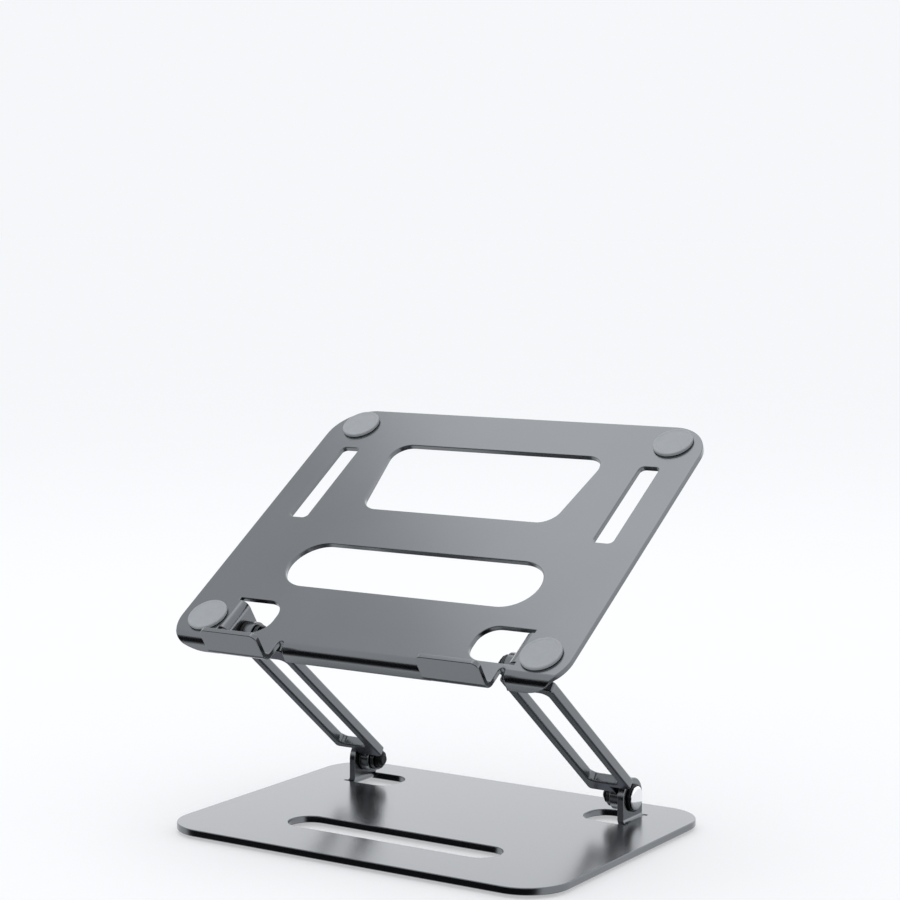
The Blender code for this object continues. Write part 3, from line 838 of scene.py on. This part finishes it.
def disc_springs():
    """Coned discs in a stack, each a ring whose bore is pushed along the bolt."""
    low, high = SPRING_SPAN
    pitch = (high - low) / SPRING_DISCS
    cone = pitch * SPRING_CONE
    stack = None
    for index in range(SPRING_DISCS):
        start = low + index * pitch
        disc = ring("spring", start, start + pitch - cone, SPRING_RADIUS, BORE_RADIUS,
                    SPRING_EDGE)
        edit(disc)
        choose(disc, "VERT", lambda vertex: math.hypot(vertex.co.y, vertex.co.z) < BORE_RADIUS + TOUCH)
        bpy.ops.transform.translate(value=(cone, 0.0, 0.0))
        leave()
        if stack is None:
            stack = disc
            continue
        deselect()
        disc.select_set(True)
        stack.select_set(True)
        bpy.context.view_layer.objects.active = stack
        bpy.ops.object.join()
    return stack


def lock_nut():
    """A hexagon nut with turned corners and the collar that grips the thread."""
    low, high = NUT_SPAN
    nut = rod("nut", low, high + SPARE, NUT_RADIUS, 6)
    turned = rod("turned", low + NUT_COLLAR, high, NUT_RADIUS * NUT_TURNED, ROUND_STEPS)
    soften_edges(turned, NUT_CHAMFER, rims(low + NUT_COLLAR, high), 1)
    combine(nut, turned, "INTERSECT")
    neck = rod("collar", low, low + NUT_COLLAR + NUT_CHAMFER, NUT_RADIUS * COLLAR_SHARE, ROUND_STEPS)
    soften_edges(neck, SPIGOT_EDGE, rims(low), 3)
    combine(nut, neck, "UNION")
    cut(nut, rod("bore_cutter", low - SPARE, high + SPARE, BORE_RADIUS))
    edit(nut)
    bpy.ops.mesh.select_all(action="SELECT")
    turn(math.pi / 2, "X", (0.0, 0.0, 0.0))
    leave()
    return nut


def hinges():
    """Copies every piece of hardware to the four pivots; the left ones are turned half round."""
    cap_piece, springs, nut = cap(), disc_springs(), lock_nut()
    for end, pivot, body, thickness in (("base", BASE_PIVOT, "base", BASE_SHEET),
                                        ("tray", TRAY_PIVOT, "tray_bolts", TRAY_SHEET)):
        kit = [("bolt", "hinge_bolt", bolt(), BLACK_STEEL, "black_steel"),
               ("cap", "hinge_cap", cap_piece, BRIGHT_STEEL, "bright_steel"),
               ("washer", "friction_washer", friction_washer(thickness), FIBRE, "friction_fibre"),
               ("springs", "disc_springs", springs, SPRING_STEEL, "spring_steel"),
               ("nut", "lock_nut", nut, BLACK_STEEL, "black_steel")]
        for word, node, model, material, slot in kit:
            for side, hand in SIDES:
                piece = copy_of(model, f"{word}_{end}_{hand}")
                half_turn = 0.0 if side > 0 else math.pi
                piece.matrix_world = Matrix.Translation(pivot) @ Matrix.Rotation(half_turn, 4, "Z")
                settle(piece, f"{word}_{end}_{hand}", material, body, slot, f"{node}_{end}_{hand}")
        for word, node, model, material, slot in kit:
            if word in ("bolt", "washer"):
                bpy.data.objects.remove(model, do_unlink=True)
    for model in (cap_piece, springs, nut):
        bpy.data.objects.remove(model, do_unlink=True)


# ---- feet and pads ------------------------------------------------------------------------------
def foot():
    """A rubber foot with a hollow in its underside, standing on Z = 0."""
    height = BASE_LOW.z - GAP
    disc = rod("foot", 0.0, height, FOOT_RADIUS, 2 * ROUND_STEPS, axis="Z")
    edit(disc)
    choose(disc, "FACE", facing(2, 1))
    bpy.ops.transform.resize(value=(FOOT_TAPER, FOOT_TAPER, 1.0), center_override=(0.0, 0.0, height))
    choose(disc, "FACE", facing(2, -1))
    for inward, rise in FOOT_UNDERSIDE:
        bpy.ops.mesh.inset(thickness=inward, depth=rise)
    leave()
    return disc


def feet():
    model = foot()
    for row, end in zip(FOOT_ROWS, ("front", "back")):
        for side, hand in SIDES:
            piece = copy_of(model, f"rubber_foot_{end}_{hand}")
            piece.location = (side * FOOT_SPREAD, BASE_LOW.y + row, 0.0)
            settle(piece, f"rubber_foot_{end}_{hand}", RUBBER, "base", "rubber", f"foot_{end}_{hand}")
    bpy.data.objects.remove(model, do_unlink=True)


def pad():
    """A round silicone pad with a soft rim and a shallow dish, standing on Z = GAP."""
    disc = rod("pad", GAP, GAP + PAD_HEIGHT, PAD_RADIUS, 2 * ROUND_STEPS, axis="Z")
    top = GAP + PAD_HEIGHT
    soften_edges(disc, PAD_RIM,
                 lambda edge: not along(edge, 2) and middle_of(edge).z > top - TOUCH, 5)
    edit(disc)
    choose(disc, "FACE", facing(2, 1))
    for inward, rise in PAD_DISH:
        bpy.ops.mesh.inset(thickness=inward, depth=rise)
    leave()
    return disc


def pads():
    model = pad()
    for (spread, row), end in zip(PAD_PLACES, ("front", "back")):
        for side, hand in SIDES:
            piece = copy_of(model, f"silicone_pad_{end}_{hand}")
            piece.location = (side * spread, row, 0.0)
            apply_place(piece)
            place_on_tray(piece)
            settle(piece, f"silicone_pad_{end}_{hand}", SILICONE, "tray", "silicone", f"pad_{end}_{hand}")
    bpy.data.objects.remove(model, do_unlink=True)
    for side, hand in SIDES:
        hook_pad(side, hand)


def hook_pad(side, hand):
    """The liner behind a hook, with shallow upright grooves."""
    inner, outer = HOOK_INNER + HOOK_PAD_MARGIN, HOOK_OUTER - HOOK_PAD_MARGIN
    left, right = sorted((side * inner, side * outer))
    front = -HOOK_REACH + TRAY_SHEET + GAP
    back = front + HOOK_PAD_THICKNESS
    low, high = HOOK_BEND + GAP, HOOK_RISE - HOOK_PAD_MARGIN
    liner = block("liner", (left, front, low), (right, back, high))
    edit(liner)
    for step in range(1, LINER_RIBS):
        bpy.ops.mesh.select_all(action="SELECT")
        bpy.ops.mesh.bisect(plane_co=(left + (right - left) * step / LINER_RIBS, 0.0, 0.0),
                            plane_no=(1.0, 0.0, 0.0), use_fill=False)
    choose(liner, "FACE", facing(1, 1))
    for inward, rise in LINER_GROOVE:
        bpy.ops.mesh.inset(thickness=inward, depth=rise, use_individual=True)
    leave()
    soften_edges(liner, LINER_EDGE, lambda edge: along(edge, 1) and len(edge.link_faces) == 2
                 and edge.calc_face_angle(0.0) > 1.0, 3)
    place_on_tray(liner)
    settle(liner, f"hook_liner_{hand}", SILICONE, "tray", "silicone", f"hook_pad_{hand}")


# ---- studio -------------------------------------------------------------------------------------
def camera():
    data = bpy.data.cameras.new("camera")
    data.lens = LENS
    data.sensor_width = SENSOR_WIDTH
    data.clip_start = 0.01
    obj = bpy.data.objects.new("camera", data)
    obj.location = CAMERA_PLACE
    obj.rotation_euler = (math.radians(90 - CAMERA_DIP), 0.0, math.radians(CAMERA_SWING))
    bpy.context.scene.collection.objects.link(obj)
    bpy.context.scene.camera = obj


def softbox(name, location, target, size, power):
    data = bpy.data.lights.new(name, "AREA")
    data.shape = "RECTANGLE"
    data.size, data.size_y = size
    data.energy = power
    obj = bpy.data.objects.new(name, data)
    obj.location = location
    aim = Vector(target) - Vector(location)
    obj.rotation_euler = aim.to_track_quat("-Z", "Y").to_euler()
    bpy.context.scene.collection.objects.link(obj)


def smooth_step(value, low, high):
    """0 where the wire is at low, 1 where it is at high, easing in between."""
    return value.add("ShaderNodeMapRange", {"interpolation_type": "SMOOTHSTEP"},
                     {"Value": value, "From Min": low, "From Max": high, "To Min": 0.0, "To Max": 1.0})


def light_tent():
    """Even pale light all round. Reflections alone see a dark screen low in front, a bright band
    low at the back and a shaded floor below it; the camera alone sees a plain backdrop."""
    world = bpy.data.worlds.new("studio")
    bpy.context.scene.world = world
    world.use_nodes = True
    tree = world.node_tree
    direction = Wire(tree, tree.nodes.new("ShaderNodeTexCoord").outputs["Generated"])
    across = direction.add("ShaderNodeSeparateXYZ", None, {0: direction}, "Y")
    up = direction.add("ShaderNodeSeparateXYZ", None, {0: direction}, "Z")
    screen = smooth_step(-1 * across, *SCREEN_FRONT) * smooth_step(-1 * up, *SCREEN_TOP)
    band = (smooth_step(across, *BAND_BACK) * smooth_step(up, *BAND_FOOT)
            * (1 - smooth_step(up, *BAND_TOP)))
    shade = smooth_step(across, *SHADE_BACK) * smooth_step(-1 * up, *SHADE_DOWN)
    reflected = direction.add("ShaderNodeLightPath", None, None, "Is Glossy Ray")
    seen = direction.add("ShaderNodeLightPath", None, None, "Is Camera Ray")
    tone = (screen * reflected).mix(TENT_COLOUR, SCREEN_COLOUR)
    tone = (band * reflected).mix(tone, BAND_COLOUR)
    tone = (shade * reflected).mix(tone, SHADE_COLOUR)
    tone = seen.mix(tone, BACKDROP_COLOUR)
    tree.links.new(tone.socket, tree.nodes["Background"].inputs["Color"])
    tree.nodes["Background"].inputs["Strength"].default_value = 1.0


def studio():
    deselect()
    bpy.ops.mesh.primitive_plane_add(size=FLOOR_SIZE, location=(0.0, 0.0, 0.0))
    floor = bpy.context.object
    floor.name = "floor"
    floor.visible_glossy = False
    paint = Finish("pale_floor", 0.0, 0.0)
    speckle = paint.place.noise(6.0, 2.0)
    paint.set(Base_Color=speckle.mix(grey(0.545, 0.01), grey(0.555, 0.01)), Roughness=0.9,
              Emission_Color=grey(1.0, 0.01), Emission_Strength=FLOOR_GLOW)
    floor.data.materials.append(paint.material)
    light_tent()
    softbox("top_light", TOP_LIGHT_PLACE, (0.0, 0.0, 0.0), TOP_LIGHT_SIZE, TOP_LIGHT_POWER)
    bpy.context.scene.view_settings.view_transform = "Standard"


camera()
base_sheet()
tray_sheet()
arms()
hinges()
feet()
pads()
studio()
